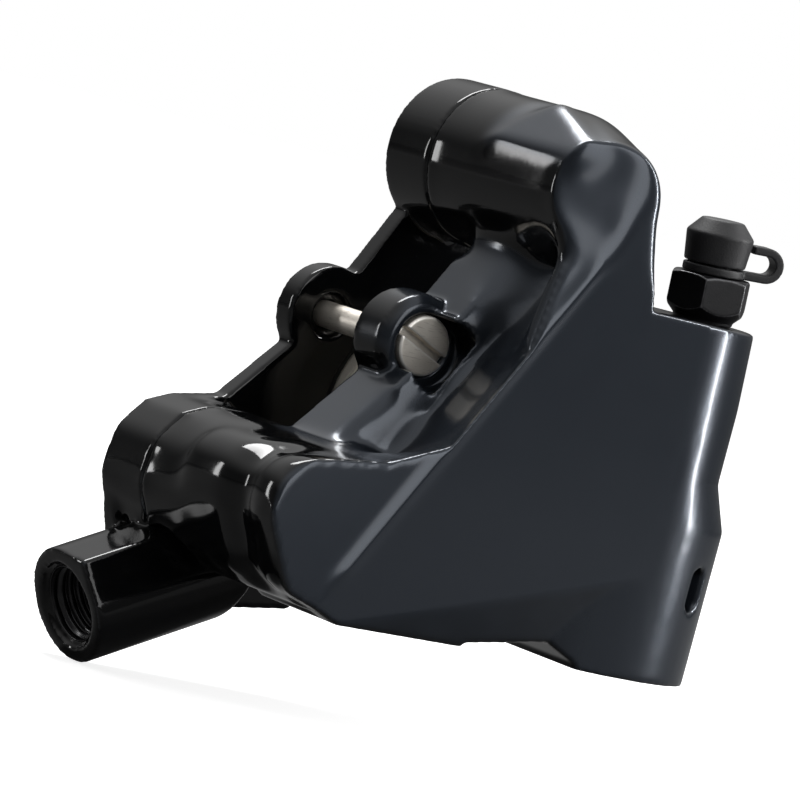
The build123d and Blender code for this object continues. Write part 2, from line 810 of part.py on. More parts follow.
cap_base = hex_top + ring_gap + ring_height + cap_gap
with BuildPart() as bleed_cap:
    with BuildSketch(nipple_profile_plane):
        with BuildLine():
            Polyline(
                (barb_radius + nipple_clearance, cap_base),
                (cap_rim_radius, cap_base),
                (cap_radius, cap_base + cap_shoulder),
                (cap_top_radius, cap_base + cap_height),
                (0, cap_base + cap_height),
                (0, cap_base + cap_height - cap_roof),
                (barb_radius + nipple_clearance, cap_base + cap_height - cap_roof),
                close=True,
            )
        make_face()
    revolve(axis=Axis(nipple_base, nipple_axis))

strap_plane = Plane(
    origin=nipple_base,
    x_dir=nipple_side.rotate(Axis((0, 0, 0), nipple_axis), strap_turn),
    z_dir=nipple_side.cross(nipple_axis).rotate(Axis((0, 0, 0), nipple_axis), strap_turn),
)
strap_low = hex_top + ring_gap
with BuildPart() as bleed_cap_strap:
    with BuildSketch(nipple_plane.offset(strap_low)):
        Circle(ring_radius)
        Circle(neck_radius + ring_clearance, mode=Mode.SUBTRACT)
    extrude(amount=ring_height)
    with BuildSketch(strap_plane.offset(-strap_width / 2)):
        bend_outer = (strap_rise + strap_thickness) / 2
        bend_x = strap_reach - bend_outer
        bend_z = strap_low + bend_outer
        with Locations((bend_x, bend_z)):
            Circle(bend_outer)
        Polygon(
            (ring_radius - strap_thickness, strap_low),
            (bend_x, strap_low),
            (bend_x, bend_z),
            (ring_radius - strap_thickness, bend_z),
            align=None,
        )
        Polygon(
            (cap_radius + strap_gap, bend_z),
            (bend_x, bend_z),
            (bend_x, bend_z + bend_outer),
            (cap_radius + strap_gap, bend_z + bend_outer),
            align=None,
        )
        bend_inner = bend_outer - strap_thickness
        with Locations((bend_x, bend_z)):
            Circle(bend_inner, mode=Mode.SUBTRACT)
        Polygon(
            (0, bend_z - bend_inner),
            (bend_x, bend_z - bend_inner),
            (bend_x, bend_z + bend_inner),
            (0, bend_z + bend_inner),
            align=None,
            mode=Mode.SUBTRACT,
        )
    extrude(amount=strap_width)

pieces = {
    "outer_body": outer_body,
    "inner_body": inner_body,
    "outer_piston": outer_piston,
    "inner_piston": inner_piston,
    "outer_piston_seal": outer_piston_seal,
    "inner_piston_seal": inner_piston_seal,
    "crossover_seal": crossover_seal,
    "passage_plug": passage_plug,
    "body_bolt_top": body_bolt_top,
    "body_bolt_front": body_bolt_front,
    "pad_axle": pad_axle,
    "pad_axle_clip": pad_axle_clip,
    "bleed_nipple": bleed_nipple,
    "bleed_cap": bleed_cap,
    "bleed_cap_strap": bleed_cap_strap,
}

os.makedirs("parts", exist_ok=True)
for name, piece in pieces.items():
    piece.part.label = name
    export_step(piece.part, f"parts/{name}.step")
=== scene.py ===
import math

import bmesh
import bpy
import numpy as np
from mathutils import Matrix, Vector


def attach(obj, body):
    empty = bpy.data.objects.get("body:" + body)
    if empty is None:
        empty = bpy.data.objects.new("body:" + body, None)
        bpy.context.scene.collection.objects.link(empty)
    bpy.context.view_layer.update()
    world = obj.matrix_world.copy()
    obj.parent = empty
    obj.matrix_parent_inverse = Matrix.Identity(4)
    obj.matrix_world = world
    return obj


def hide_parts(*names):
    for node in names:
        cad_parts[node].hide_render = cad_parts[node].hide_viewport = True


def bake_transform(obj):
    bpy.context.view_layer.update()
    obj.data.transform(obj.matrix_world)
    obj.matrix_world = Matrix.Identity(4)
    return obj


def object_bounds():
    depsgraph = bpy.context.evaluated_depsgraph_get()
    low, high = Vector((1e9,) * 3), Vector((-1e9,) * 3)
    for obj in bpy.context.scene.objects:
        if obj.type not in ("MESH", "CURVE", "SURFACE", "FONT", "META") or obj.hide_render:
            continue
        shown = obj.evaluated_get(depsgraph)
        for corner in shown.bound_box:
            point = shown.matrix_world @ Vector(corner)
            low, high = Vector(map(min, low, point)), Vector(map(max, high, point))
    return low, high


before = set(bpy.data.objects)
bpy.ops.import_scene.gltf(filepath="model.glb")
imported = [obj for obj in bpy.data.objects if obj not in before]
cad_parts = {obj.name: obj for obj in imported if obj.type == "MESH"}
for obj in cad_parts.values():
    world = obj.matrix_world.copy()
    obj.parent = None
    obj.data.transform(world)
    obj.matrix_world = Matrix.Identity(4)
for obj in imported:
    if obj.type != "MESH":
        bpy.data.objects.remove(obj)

mm = 0.001
cadBox = [list(corner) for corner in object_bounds()]
print("frame loaded, box", cadBox)


def inMm(*values):
    # lengths, places or spans written in millimetres
    return np.array(values) * mm


def rgb(red, green, blue): return (red, green, blue, 1.0)


# shader kit

class Signal:
    # a socket that can stand in a sum; each sum adds one Math node
    def __init__(self, paint, socket):
        self.paint, self.socket = paint, socket

    def maths(self, operation, other, swapped=False):
        first, second = (other, self) if swapped else (self, other)
        return self.paint.node("ShaderNodeMath", {"operation": operation}, {0: first, 1: second})

    def __add__(self, other): return self.maths("ADD", other)
    def __radd__(self, other): return self.maths("ADD", other, True)
    def __sub__(self, other): return self.maths("SUBTRACT", other)
    def __rsub__(self, other): return self.maths("SUBTRACT", other, True)
    def __mul__(self, other): return self.maths("MULTIPLY", other)
    def __rmul__(self, other): return self.maths("MULTIPLY", other, True)

    def swing(self, amount):
        # a pattern about its middle value, between plus and minus half the amount
        return (self - 0.5) * amount


class Paint:
    # one material, built node by node
    noiseRough = 0.55

    def __init__(self, name):
        self.material = bpy.data.materials.new(name)
        self.material.use_nodes = True
        self.tree = self.material.node_tree
        self.tree.nodes.clear()
        self.place = self.node("ShaderNodeTexCoord", output="Object")

    def node(self, kind, settings=None, sockets=None, output=0):
        made = self.tree.nodes.new(kind)
        for key, value in (settings or {}).items():
            setattr(made, key, value)
        for key, value in (sockets or {}).items():
            if isinstance(value, Signal):
                self.tree.links.new(value.socket, made.inputs[key])
            else:
                made.inputs[key].default_value = value
        return Signal(self, made.outputs[output])

    def noise(self, scale, detail, stretch=None):
        # cloudy pattern between 0 and 1; scale is in cells per metre
        spot = self.place
        if stretch:
            spot = self.node("ShaderNodeMapping", {}, {"Vector": spot, "Scale": stretch})
        return self.node("ShaderNodeTexNoise", {"noise_dimensions": "3D"},
                         {"Vector": spot, "Scale": scale, "Detail": detail, "Roughness": self.noiseRough},
                         "Fac")

    def band(self, signal, low, high, start=0.0, end=1.0):
        # smooth step from start to end as the signal goes from low to high
        return self.node("ShaderNodeMapRange", {"interpolation_type": "SMOOTHSTEP"},
                         {"Value": signal, "From Min": low, "From Max": high,
                          "To Min": start, "To Max": end}, "Result")

    def mark(self, name):
        return self.node("ShaderNodeAttribute", {"attribute_name": name}, output="Fac")

    def mix(self, amount, first, second):
        return self.node("ShaderNodeMix", {"data_type": "RGBA"},
                         {"Factor": amount, 6: first, 7: second}, 2)

    def bump(self, height, depth):
        # depth is in metres per unit of height
        return self.node("ShaderNodeBump", {}, {"Height": height, "Distance": depth, "Strength": 1.0},
                         "Normal")

    def surface(self, **sockets):
        names = {key.replace("_", " "): value for key, value in sockets.items()}
        shader = self.node("ShaderNodeBsdfPrincipled", {}, names, "BSDF")
        out = self.tree.nodes.new("ShaderNodeOutputMaterial")
        self.tree.links.new(shader.socket, out.inputs["Surface"])
        return self.material


# finishes; a pattern is (cells per metre, detail), and rough is a middle value with its swings beside it
# the slate tone is painted light, laid on the lit faces of the black paint
bodyLook = {"gloss": rgb(0.0028, 0.003, 0.0034), "satin": rgb(0.026, 0.032, 0.042),
            # the rim tone is a painted highlight along the edges
            "rim": rgb(0.12, 0.13, 0.145), "cloud": (160.0, 4.0), "flake": (9000.0, 1.0),
            "peel": (900.0, 2.0), "rimReach": 0.13 * mm,
            "slateSpan": (0.1, 0.9), "slateRagged": 0.3, "edgeSpan": (0.42, 1.0), "edgeRagged": 0.15,
            "edgeShare": 0.8, "rough": 0.08, "slateRough": 0.14, "cloudRough": 0.04, "flakeRough": 0.05,
            "slateMetal": 0.55, "edgeMetal": 0.3, "specular": 0.3, "coat": 0.35, "coatRough": 0.12,
            "peelBump": 0.5, "flakeBump": 0.15, "bump": 0.008 * mm}
plainLooks = {
    "bodyThread": {"name": "blackThread", "tones": (rgb(0.012, 0.012, 0.013), rgb(0.04, 0.04, 0.042)),
                   "cloud": (700.0, 3.0), "grain": (3800.0, 2.0), "metal": 0.6,
                   "rough": 0.24, "grainRough": 0.12, "bump": 0.006 * mm},
    "bareAlloy": {"name": "bareThread", "tones": (rgb(0.62, 0.63, 0.64), rgb(0.85, 0.85, 0.85)),
                  "cloud": (600.0, 3.0), "grain": (3800.0, 2.0), "metal": 0.8,
                  "rough": 0.42, "grainRough": 0.15, "bump": 0.006 * mm},
    "sealRubber": {"name": "sealRubber", "tones": (rgb(0.014, 0.014, 0.015), rgb(0.035, 0.035, 0.036)),
                   "cloud": (300.0, 3.0), "grain": (4200.0, 2.0),
                   "rough": 0.6, "grainRough": 0.2, "bump": 0.02 * mm},
    "capRubber": {"name": "capRubber", "tones": (rgb(0.008, 0.008, 0.009), rgb(0.020, 0.020, 0.022)),
                  "cloud": (420.0, 4.0), "grain": (5200.0, 2.0), "specular": 0.4,
                  "rough": 0.52, "cloudRough": 0.16, "bump": 0.025 * mm},
    "ceramic": {"name": "pistonCeramic", "tones": (rgb(0.60, 0.57, 0.50), rgb(0.74, 0.71, 0.64)),
                "cloud": (220.0, 4.0), "grain": (5200.0, 1.0),
                "rough": 0.42, "cloudRough": 0.2, "bump": 0.012 * mm,
                "over": [{"by": "grain", "span": (0.62, 0.72), "share": 0.35,
                          "tone": rgb(0.32, 0.30, 0.27)}]},
    "darkSteel": {"name": "boltSteel", "tones": (rgb(0.10, 0.10, 0.105), rgb(0.17, 0.17, 0.175)),
                  "cloud": (350.0, 4.0), "grain": (2600.0, 3.0), "metal": 0.9,
                  "rough": 0.36, "grainRough": 0.16, "bump": 0.008 * mm,
                  "over": [{"by": "rim", "span": (0.3, 0.9), "share": 0.7, "tone": rgb(0.42, 0.42, 0.43)}]},
    "blackHex": {"name": "nippleBlack", "tones": (rgb(0.006, 0.006, 0.007), rgb(0.014, 0.014, 0.016)),
                 "cloud": (500.0, 3.0), "grain": (4200.0, 2.0), "metal": 0.35,
                 "rough": 0.30, "grainRough": 0.12, "bump": 0.008 * mm,
                 "over": [{"by": "rim", "ragged": 0.5, "span": (0.5, 1.0), "share": 0.6,
                           "tone": rgb(0.16, 0.16, 0.17)}]},
    "nickelSteel": {"name": "axleNickel", "tones": (rgb(0.66, 0.61, 0.54), rgb(0.82, 0.78, 0.71)),
                    "cloud": (420.0, 4.0), "grain": (3600.0, 2.0), "scratch": (900.0, 2.0),
                    "stretch": (1.0, 1.0, 9.0), "metal": 0.8, "rough": 0.46, "cloudRough": 0.2,
                    "grainRough": 0.1, "grainBump": 0.5, "bump": 0.01 * mm,
                    "over": [{"by": "scratch", "span": (0.56, 0.74), "share": 0.5,
                              "tone": rgb(0.36, 0.32, 0.28)},
                             {"by": "rim", "span": (0.3, 0.9), "share": 0.8,
                              "tone": rgb(0.92, 0.90, 0.86)}]}}
plainStart = {"metal": 0.0, "specular": 0.5, "cloudRough": 0.0, "grainRough": 0.0, "over": ()}


def bodyPaint():
    # glossy black, turning to a dark metallic slate on the broad outboard faces, which is painted light on
    # one black paint; paler along the edges, which is a painted highlight
    k = bodyLook
    p = Paint("bodyPaint")
    face, rim = p.mark("paintedLightSlate"), p.mark("rim")
    flake, peel, cloud = p.noise(*k["flake"]), p.noise(*k["peel"]), p.noise(*k["cloud"])
    # the slate is painted light: a lit copy of the same black paint where the mark says the faces are lit
    slate = p.band(face + cloud.swing(k["slateRagged"]), *k["slateSpan"])
    # the paler rim tone along proud edges is a painted highlight
    edge = p.band(rim + cloud.swing(k["edgeRagged"]), *k["edgeSpan"])
    shade = p.mix(slate, k["gloss"], k["satin"])
    shade = p.mix(edge * k["edgeShare"], shade, k["rim"])
    rough = k["rough"] + slate * k["slateRough"] + cloud.swing(k["cloudRough"]) + flake.swing(k["flakeRough"])
    metal = slate * k["slateMetal"] + edge * k["edgeMetal"]
    return p.surface(Base_Color=shade, Roughness=rough, Metallic=metal, Specular_IOR_Level=k["specular"],
                     Coat_Weight=slate * k["coat"], Coat_Roughness=k["coatRough"],
                     Normal=p.bump(peel * k["peelBump"] + flake * k["flakeBump"], k["bump"]))


def plainFinish(look):
    # two tones mixed by a cloud; each over tone is then laid on where its pattern rises through its span
    k = {**plainStart, **look}
    p = Paint(k["name"])
    patterns = {"cloud": p.noise(*k["cloud"]), "grain": p.noise(*k["grain"])}
    relief = patterns["grain"]
    if "scratch" in k:
        patterns["scratch"] = p.noise(*k["scratch"], stretch=k["stretch"])
        relief = relief * k["grainBump"] + patterns["scratch"]
    shade = p.mix(patterns["cloud"], *k["tones"])
    for over in k["over"]:
        pattern = patterns.get(over["by"]) or p.mark(over["by"])
        if "ragged" in over:
            pattern = pattern + patterns["cloud"].swing(over["ragged"])
        shade = p.mix(p.band(pattern, *over["span"], 0.0, over["share"]), shade, over["tone"])
    rough = k["rough"] + patterns["cloud"].swing(k["cloudRough"]) + patterns["grain"].swing(k["grainRough"])
    return p.surface(Base_Color=shade, Metallic=k["metal"], Roughness=rough, Specular_IOR_Level=k["specular"],
                     Normal=p.bump(relief, k["bump"]))


finishes = {"bodyPaint": bodyPaint(), **{key: plainFinish(look) for key, look in plainLooks.items()}}
print("finishes made:", len(finishes))

# mesh kit
skinLook = {"weldGap": 2e-6, "netGap": 1e-7, "least": 1e-6, "pull": 0.6, "rimRounds": 3,
            "rimReach": 0.02 * mm}


def readPoints(mesh):
    flat = np.empty(len(mesh.vertices) * 3)
    mesh.vertices.foreach_get("co", flat)
    return flat.reshape(-1, 3)


def writePoints(mesh, points):
    mesh.vertices.foreach_set("co", np.ascontiguousarray(points, dtype=np.float32).ravel())
    mesh.update()


def readNormals(mesh):
    flat = np.empty(len(mesh.vertices) * 3)
    mesh.vertex_normals.foreach_get("vector", flat)
    return flat.reshape(-1, 3)


def readLinks(mesh):
    flat = np.empty(len(mesh.edges) * 2, dtype=np.int64)
    mesh.edges.foreach_get("vertices", flat)
    return flat.reshape(-1, 2)


def neighbourMean(values, links):
    # each point's value is the mean of the values at the far ends of its edges
    count = len(values)
    degree = np.bincount(links.ravel(), minlength=count).clip(1)
    columns = [np.bincount(links[:, 0], values[links[:, 1], k], count)
               + np.bincount(links[:, 1], values[links[:, 0], k], count) for k in range(values.shape[1])]
    return np.stack(columns, 1) / degree[:, None]


def relax(points, links, rounds, pull=skinLook["pull"]):
    # moves each point toward the mean of its neighbours; pull may differ from point to point
    share = np.broadcast_to(np.asarray(pull, float).reshape(-1, 1), (len(points), 1))
    for turn in range(rounds):
        points = points + share * (neighbourMean(points, links) - points)
    return points


def storeMark(mesh, name, values):
    mark = mesh.attributes.new(name, "FLOAT", "POINT")
    mark.data.foreach_set("value", np.ascontiguousarray(values, dtype=np.float32))


def rimMark(points, normals, links, reach):
    # how far a point stands proud of the mean of its neighbourhood, in units of reach
    mean = points
    for turn in range(skinLook["rimRounds"]):
        mean = neighbourMean(mean, links)
    proud = np.einsum("ij,ij->i", points - mean, normals)
    return np.clip(proud / reach, 0.0, 1.0)


def newPiece(name, mesh, finish, body, replaced=()):
    piece = bpy.data.objects.new(name, mesh)
    bpy.context.collection.objects.link(piece)
    mesh.materials.clear()
    mesh.materials.append(finishes[finish])
    mesh.polygons.foreach_set("use_smooth", np.full(len(mesh.polygons), True))
    if body:
        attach(piece, body)
    for node in replaced:
        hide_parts(node)
    print("piece", name, len(mesh.vertices), "points")
    return piece


def skinMesh(node, name, voxel):
    # a copy of the node's mesh, merged, then one even skin of small quads over it
    welded = bmesh.new()
    welded.from_mesh(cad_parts[node].data)
    bmesh.ops.remove_doubles(welded, verts=welded.verts, dist=skinLook["weldGap"])
    raw = bpy.data.meshes.new(name + "Raw")
    welded.to_mesh(raw)
    welded.free()
    holder = bpy.data.objects.new(name + "Holder", raw)
    bpy.context.collection.objects.link(holder)
    net = holder.modifiers.new("net", "REMESH")
    net.mode, net.voxel_size = "VOXEL", voxel
    dressed = holder.evaluated_get(bpy.context.evaluated_depsgraph_get())
    mesh = bpy.data.meshes.new_from_object(dressed)
    mesh.name = name
    bpy.data.objects.remove(holder)
    bpy.data.meshes.remove(raw)
    while mesh.attributes.get("custom_normal"):
        mesh.attributes.remove(mesh.attributes["custom_normal"])
    return mesh


def step(values, low, high):
    # smooth step from 0 at low to 1 at high
    t = np.clip((values - low) / (high - low), 0.0, 1.0)
    return t * t * (3.0 - 2.0 * t)


def fall(values, low, high):
    # smooth step from 1 at low to 0 at high
    return step(-values, -high, -low)


def window(values, riseLow, riseHigh, fallLow, fallHigh):
    return step(values, riseLow, riseHigh) * fall(values, fallLow, fallHigh)


def skinPiece(node, name, finish, body, slotName, voxel, rounds, rimReach=skinLook["rimReach"], sculpt=None,
              marks=None):
    mesh = skinMesh(node, name, voxel)
    links = readLinks(mesh)
    points = relax(readPoints(mesh), links, rounds)
    if sculpt:
        points = sculpt(points, links)
    writePoints(mesh, points)
    normals = readNormals(mesh)
    storeMark(mesh, "rim", rimMark(points, normals, links, rimReach))
    for key, make in (marks or {}).items():
        storeMark(mesh, key, make(points, normals, links))
    return newPiece(name, mesh, finish, body, [node])


# body halves: two values are the span of a rise or a fall, four are a rise and then a fall
halves = {"voxel": 0.25 * mm, "rounds": 3, "settle": (2, 0.5)}
creaseLine = inMm((-28.5, 1.9), (-12.4, 28.7), (-6.3, 38.7), (-2.9, 44.3), (-1.6, 49.8), (-1.0, 60.0))
boltSpot = inMm(-29.9, 8.7)
axleSpot = inMm(-13.5, 28.73)
softLook = {"valleySide": inMm(-4.8, -3.8, 3.6, 4.6), "valleyY": inMm(-6.2, -4.8, 10.2, 11.0),
            "valleyRun": inMm(12.0, 16.0, 43.0, 47.0), "valleyShare": 0.7, "earKeep": inMm(6.2, 8.0),
            "earY": inMm(-0.5, 0.5), "frontX": inMm(-28.0, -25.0), "frontY": inMm(-5.6, -4.2, 17.2, 17.9),
            "frontZ": inMm(17.6, 18.6), "tipX": inMm(-30.0, -29.0), "humpY": inMm(-5.6, -4.4, 17.2, 17.9),
            "humpZ": inMm(38.0, 41.0), "humpShare": 0.8, "rounds": 110, "pull": 0.75}
innerFront = {"x": inMm(-28.0, -25.0), "y": inMm(18.7, 19.2, 24.9, 25.5), "z": inMm(3.0, 5.5),
              "rounds": 40, "pull": 0.75}
junction = {"centre": inMm(-8.5, 4.0, 41.0), "reach": inMm(6.0, 9.0, 6.0), "fade": (0.6, 1.0),
            "rounds": 120, "pull": 0.8}
# radius round the bolt's axis at measured angles, from the bottom over the front to the top
barrelRound = {"angles": np.radians((270, 250, 233, 210, 187, 165, 144, 125, 110, 90)),
               "radii": inMm(7.4, 6.5, 5.95, 5.65, 5.8, 5.95, 6.45, 6.9, 7.45, 8.15),
               "reach": inMm(4.9, 5.2, 8.8, 9.6), "outerY": inMm(-5.0, -3.0),
               "outerTurn": np.radians((262, 282)), "innerZ": inMm(3.5, 6.0),
               "innerTurn": np.radians((190, 215))}
barrelWaist = {"depth": 0.9 * mm, "at": 0.8 * mm, "width": 2.4 * mm, "x": inMm(-32.0, -27.0)}
creaseRidge = {"height": 0.16 * mm, "width": 0.75 * mm, "y": inMm(-5.0, -3.5),
               "z": inMm(3.0, 6.0, 46.0, 50.0)}
leafFacet = {"faceY": cadBox[0][1], "facetSlope": 2.2 / 16.0, "facetZ": 38.0 * mm, "slope": 0.30,
             "soft": 0.35 * mm, "z": inMm(31.0, 38.0), "y": inMm(-6.0, 2.0)}
leafRoot = {"at": inMm(-10.9, -3.2, 31.6), "reach": inMm(1.8, 3.4), "rounds": 60, "pull": 0.7}
topFacet = {"corners": inMm((-10.5, 8.5, 52.1), (-9.5, -7.0, 52.5), (-6.3, 5.0, 56.9)), "lift": -0.25 * mm,
            "edge": 1.3 * mm, "grow": 1.6 * mm, "depth": inMm(1.8, 2.6)}
topSoft = {"y": inMm(17.2, 17.9), "z": inMm(40.0, 44.0), "rounds": 34, "pull": 0.7}
# where the slate is painted as light: faces turned outboard, the valley's upturned floor and the hump's
# facet; faces turned down get painted shade
paintedLightSlateLook = {"out": (0.25, 0.75), "y": inMm(-1.0, 6.0), "under": (0.12, 0.5), "underShare": 0.75,
             "valleySide": inMm(-5.0, -4.0, 4.5, 7.0), "valleyY": inMm(10.5, 12.5),
             "valleyRun": inMm(9.0, 14.0), "valleyZ": inMm(38.0, 45.0), "valleyUp": (-0.4, 0.1),
             "facetZ": inMm(49.0, 53.0), "facetY": inMm(8.0, 13.0), "facetOn": (0.0, 0.3), "rounds": 6}


def creaseSide(points):
    # signed distance in the side view from the crease, a run of straight pieces; positive is forward of it
    spots = points[:, (0, 2)]
    starts, ends = creaseLine[:-1], creaseLine[1:]
    runs = ends - starts
    share = np.einsum("ijk,jk->ij", spots[:, None] - starts, runs) / np.einsum("jk,jk->j", runs, runs)
    nearest = starts + np.clip(share, 0.0, 1.0)[..., None] * runs
    gaps = spots[:, None] - nearest
    distance = np.linalg.norm(gaps, axis=2)
    pick = distance.argmin(1)
    rows = np.arange(len(points))
    turned = runs[pick, 0] * gaps[rows, pick, 1] - runs[pick, 1] * gaps[rows, pick, 0]
    return np.sign(turned) * distance[rows, pick]


def creaseFrame(points):
    # distances along and forward of the crease's lower straight run, in the side view
    run = creaseLine[1] - creaseLine[0]
    run = run / np.linalg.norm(run)
    gaps = points[:, (0, 2)] - creaseLine[0]
    return gaps @ run, gaps @ np.array((-run[1], run[0]))


def waves(angle):
    # a constant, then the cosine and sine of the angle and of twice the angle
    twice = 2 * angle
    return np.stack([np.ones_like(angle), np.cos(angle), np.sin(angle), np.cos(twice), np.sin(twice)], -1)


def roundBarrel(points, share, turn):
    # radius drawn onto a sum of two waves fitted through the measured radii. It acts past the angles of turn,
    # counted from rearward over the top, so under the bolt and rearward of there, not on the front
    k = barrelRound
    fit = np.linalg.lstsq(waves(k["angles"]), k["radii"], rcond=None)[0]
    gap = points[:, (0, 2)] - boltSpot
    radius = np.linalg.norm(gap, axis=1).clip(skinLook["least"])
    angle = np.arctan2(gap[:, 1], gap[:, 0]) % (2 * math.pi)
    share = share * window(radius, *k["reach"]) * step(angle, *turn)
    points = points.copy()
    points[:, (0, 2)] += gap * (share * (waves(angle) @ fit / radius - 1.0))[:, None]
    return points


def humpShare(points):
    # 1 on the top bridge, between the face's rim and the seam
    return step(points[:, 2], *softLook["humpZ"]) * window(points[:, 1], *softLook["humpY"])


def softShare(points):
    # 1 where the real casting flows without edges: the valley beside the bay, the hump and the front barrel
    k = softLook
    x, y, z = points.T
    valley = window(creaseSide(points), *k["valleySide"]) * window(creaseFrame(points)[0], *k["valleyRun"])
    valley *= window(y, *k["valleyY"])
    ear = np.linalg.norm(points[:, (0, 2)] - axleSpot, axis=1)
    valley *= np.maximum(step(ear, *k["earKeep"]), fall(y, *k["earY"]))
    barrel = fall(x, *k["frontX"]) * window(y, *k["frontY"])
    barrel *= fall(z, *k["frontZ"]) + fall(x, *k["tipX"])
    return np.clip(k["valleyShare"] * valley + barrel + k["humpShare"] * humpShare(points), 0.0, 1.0)


def sculptInner(points, links):
    # the outer rim of the inner half's front end is rounded, its two long edges stay
    k = innerFront
    x, y, z = points.T
    abovePort = step(z, *barrelRound["innerZ"])
    share = fall(x, *k["x"]) * window(y, *k["y"]) * step(z, *k["z"])
    points = relax(points, links, k["rounds"], k["pull"] * share)
    return relax(roundBarrel(points, abovePort, barrelRound["innerTurn"]), links, *halves["settle"])


def pressWaist(points):
    # waist of the barrel: toward the bolt's axis by a bell curve across the caliper
    k = barrelWaist
    x, y, z = points.T
    inward = boltSpot - points[:, (0, 2)]
    inward /= np.linalg.norm(inward, axis=1, keepdims=True).clip(skinLook["least"])
    bell = k["depth"] * np.exp(-((y - k["at"]) / k["width"]) ** 2) * fall(x, *k["x"])
    points = points.copy()
    points[:, (0, 2)] += inward * bell[:, None]
    return points


def pressFacet(points):
    # triangular facet on the hump: points inside the triangle are drawn onto its plane
    k = topFacet
    a, b, c = k["corners"]
    normal = np.cross(c - a, b - a)
    normal /= np.linalg.norm(normal)
    if normal[2] < 0:
        normal = -normal
    height = (points - a) @ normal - k["lift"]
    inside = fall(np.abs(height), *k["depth"])
    for start, end, third in ((a, b, c), (b, c, a), (c, a, b)):
        edgeIn = np.cross(normal, end - start)
        edgeIn /= np.linalg.norm(edgeIn)
        edgeIn *= np.sign((third - start) @ edgeIn)
        inside *= step((points - start) @ edgeIn, -k["grow"], k["edge"] - k["grow"])
    return points - normal * (height * inside)[:, None]


def sculptOuter(points, links):
    # long relaxing melts the facets of the soft places together, then the measured forms are pressed in
    points = relax(points, links, softLook["rounds"], softLook["pull"] * softShare(points))
    reach = np.linalg.norm((points - junction["centre"]) / junction["reach"], axis=1)
    points = relax(points, links, junction["rounds"], junction["pull"] * fall(reach, *junction["fade"]))
    points = roundBarrel(points, step(points[:, 1], *barrelRound["outerY"]), barrelRound["outerTurn"])
    # y and z stay those of the points before they are pressed
    y, z = points[:, 1], points[:, 2]
    points = pressWaist(points)
    side, forward = creaseSide(points), creaseFrame(points)[1]
    # the hump stays behind the facet's plane, which goes in from the face by its slope times the distance
    plain = leafFacet["faceY"] + leafFacet["facetSlope"] * forward
    proud = (z > leafFacet["facetZ"]) & (forward > 0.0)
    points[:, 1] = np.where(proud, np.maximum(points[:, 1], plain), points[:, 1])
    # the crease stands up as a soft ridge: a bell curve across it
    ridge = creaseRidge["height"] * np.exp(-(side / creaseRidge["width"]) ** 2)
    points[:, 1] -= ridge * fall(y, *creaseRidge["y"]) * window(z, *creaseRidge["z"])
    # leaf: forward of the crease's upper end the face goes in by slope times the distance, with a soft start
    drop = leafFacet["slope"] * leafFacet["soft"] * np.logaddexp(0.0, side / leafFacet["soft"])
    points[:, 1] += drop * step(z, *leafFacet["z"]) * fall(y, *leafFacet["y"])
    points = pressFacet(points)
    root = np.linalg.norm(points - leafRoot["at"], axis=1)
    points = relax(points, links, leafRoot["rounds"], leafRoot["pull"] * fall(root, *leafRoot["reach"]))
    share = topSoft["pull"] * step(z, *topSoft["z"]) * fall(y, *topSoft["y"])
    return relax(relax(points, links, topSoft["rounds"], share), links, *halves["settle"])


def paintedLightSlate(points, normals, links):
    # 1 on the broad outboard faces, 0 in the bay, under the body and on the inboard side; painted light and
    # shade: it lays the lit slate where faces turn outboard, up in the valley or forward on the hump's facet,
    # and takes most of it off faces turned down
    k = paintedLightSlateLook
    y, z = points[:, 1], points[:, 2]
    out = step(-normals[:, 1], *k["out"]) * fall(y, *k["y"])
    # faces turned down lose most of the slate: painted shade underneath
    under = step(-normals[:, 2], *k["under"])
    valley = window(creaseSide(points), *k["valleySide"]) * step(creaseFrame(points)[0], *k["valleyRun"])
    valley *= fall(y, *k["valleyY"]) * fall(z, *k["valleyZ"]) * step(normals[:, 2], *k["valleyUp"])
    facet = step(z, *k["facetZ"]) * fall(y, *k["facetY"]) * step(-normals[:, 0], *k["facetOn"])
    out = np.maximum(out, np.maximum(valley, facet))
    value = (out * (1.0 - k["underShare"] * under)).reshape(-1, 1)
    for turn in range(k["rounds"]):
        value = neighbourMean(value, links)
    return value[:, 0]


for node, name, sculpt in (("outer_body", "outerHalf", sculptOuter),
                           ("inner_body", "innerHalf", sculptInner)):
    skinPiece(node, name, "bodyPaint", "caliper", "body_black", halves["voxel"], halves["rounds"],
              bodyLook["rimReach"], sculpt, {"paintedLightSlate": paintedLightSlate})


def roundNet(name, base, axis, across, count, radius, height):
    # an outline of radius and height carried round the axis, closed both ways, in four-sided faces
    angle = np.linspace(0.0, 2 * math.pi, count, endpoint=False)
    axis, across = Vector(axis).normalized(), Vector(across).normalized()
    third = np.array(axis.cross(across))
    ring = np.cos(angle)[:, None] * np.array(across) + np.sin(angle)[:, None] * third
    places = np.array(base) + radius[..., None] * ring[:, None] + height[None, :, None] * np.array(axis)
    rows, columns = places.shape[:2]
    i, j = (grid.ravel() for grid in np.meshgrid(np.arange(rows), np.arange(columns), indexing="ij"))
    following, beside = (i + 1) % rows, (j + 1) % columns
    faces = np.stack([i * columns + j, following * columns + j, following * columns + beside,
                      i * columns + beside], 1)
    mesh = bpy.data.meshes.new(name)
    mesh.from_pydata(places.reshape(-1, 3).tolist(), [], faces.tolist())
    merged = bmesh.new()
    merged.from_mesh(mesh)
    bmesh.ops.remove_doubles(merged, verts=merged.verts, dist=skinLook["netGap"])
    bmesh.ops.recalc_face_normals(merged, faces=merged.faces)
    merged.to_mesh(mesh)
    merged.free()
    return mesh


